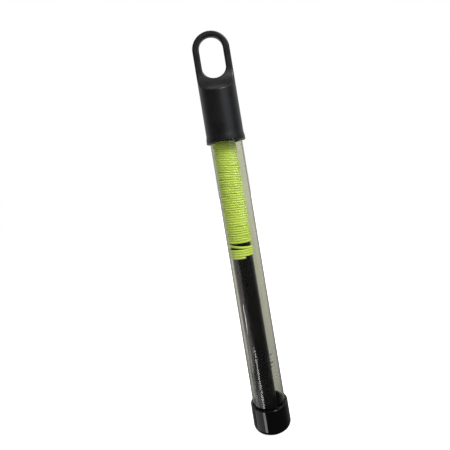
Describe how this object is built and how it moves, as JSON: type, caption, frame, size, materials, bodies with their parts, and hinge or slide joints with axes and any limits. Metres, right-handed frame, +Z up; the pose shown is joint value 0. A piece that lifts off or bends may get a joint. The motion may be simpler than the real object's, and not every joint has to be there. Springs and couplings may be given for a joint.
{
  "type": "capped clear tube with cord winder",
  "caption": "Slim clear plastic tube with a push-on hang-loop cap and a glossy end cap, holding a loose black core close-wound with lime cord.",
  "frame": {"origin": "middle of the end cap's flat base, on the surface that the part stands on", "axes": "+Z up the tube towards the hang loop; the loop's flat faces look along +Y and -Y; the core leans towards -X"},
  "size_m": [0.0308, 0.0308, 0.3134],
  "materials": {
    "clear_plastic": "clear, slightly milky, satin from handling",
    "gloss_black_vinyl": "high gloss",
    "satin_black_plastic": "satin, fine moulded grain",
    "gloss_black_core": "gloss",
    "lime_cord": "fine braided cord, soft sheen"
  },
  "bodies": {
    "tube": {"clear_tube": "clear_plastic"},
    "hang_cap": {"hang_cap": "satin_black_plastic"},
    "end_cap": {"end_cap": "gloss_black_vinyl"},
    "winder": {"winder_core": "gloss_black_core", "cord_winding": "lime_cord", "cord_knot": "lime_cord"}
  },
  "joints": [
    {"name": "hang_cap_pull", "type": "slide", "parent": "tube", "child": "hang_cap", "axis": [0, 0, 1], "range_m": [0, 0.3]},
    {"name": "winder_draw", "type": "slide", "parent": "tube", "child": "winder", "axis": [0, 0, 1], "range_m": [0, 0.27]},
    {"name": "tube_lift", "type": "slide", "parent": "end_cap", "child": "tube", "axis": [0, 0, 1], "range_m": [0, 0.035]}
  ],
  "couplings": [
    {"joint": "winder_draw", "follows": "hang_cap_pull", "ratio": 0.9}
  ]
}
